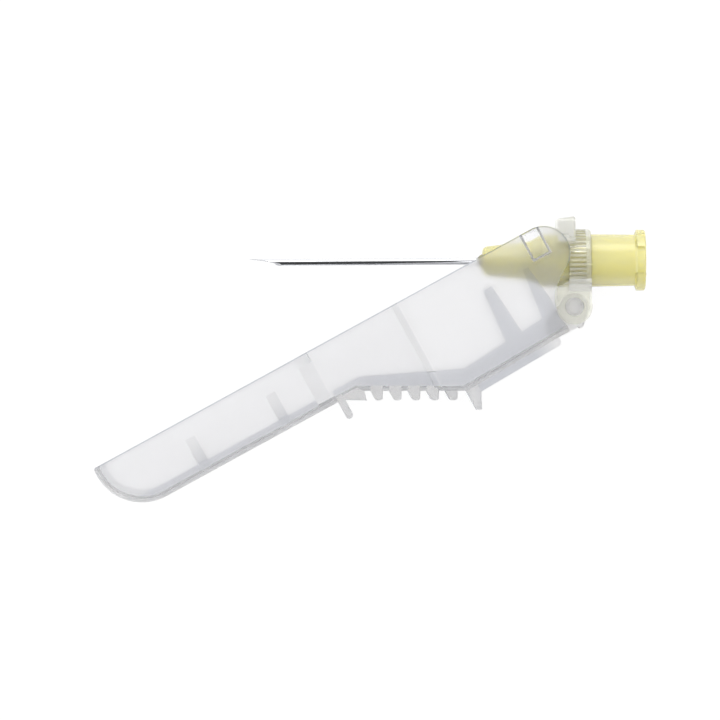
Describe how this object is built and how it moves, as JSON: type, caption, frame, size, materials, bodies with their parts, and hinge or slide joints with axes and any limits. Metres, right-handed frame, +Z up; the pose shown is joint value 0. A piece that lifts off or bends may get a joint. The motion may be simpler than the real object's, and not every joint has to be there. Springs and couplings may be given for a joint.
{
  "type": "safety hypodermic needle",
  "caption": "Luer-lock needle hub with a bevelled steel cannula, a ribbed turning collar and a hinged clear sheath with a finger pad, part open.",
  "frame": {"origin": "centre of the luer socket's mouth, on the hub's axis", "axes": "+X along the hub's axis out of the luer mouth, +Y towards the collar's lock tab, +Z up as the needle lies on the sheath's side"},
  "size_m": [0.0706, 0.0361, 0.0098],
  "materials": {
    "steel_tube": "drawn stainless steel tube, ground at the point",
    "yellow_plastic": "moulded translucent yellow polypropylene",
    "adhesive": "cured clear adhesive",
    "clear_plastic": "moulded natural polypropylene, lightly frosted"
  },
  "bodies": {
    "hub": {"needle_hub": "yellow_plastic", "cannula": "steel_tube", "glue_bead": "adhesive"},
    "collar": {"swivel_collar": "clear_plastic"},
    "sheath": {"sheath": "clear_plastic"}
  },
  "joints": [
    {"name": "collar_swivel", "type": "hinge", "parent": "hub", "child": "collar", "pos_m": [-0.00837, 0, 0], "axis": [1, 0, 0], "continuous": true},
    {"name": "sheath_hinge", "type": "hinge", "parent": "collar", "child": "sheath", "pos_m": [-0.00913, -0.00595, 0], "axis": [0, 0, 1], "range_deg": [-28.35, 91.65]}
  ]
}
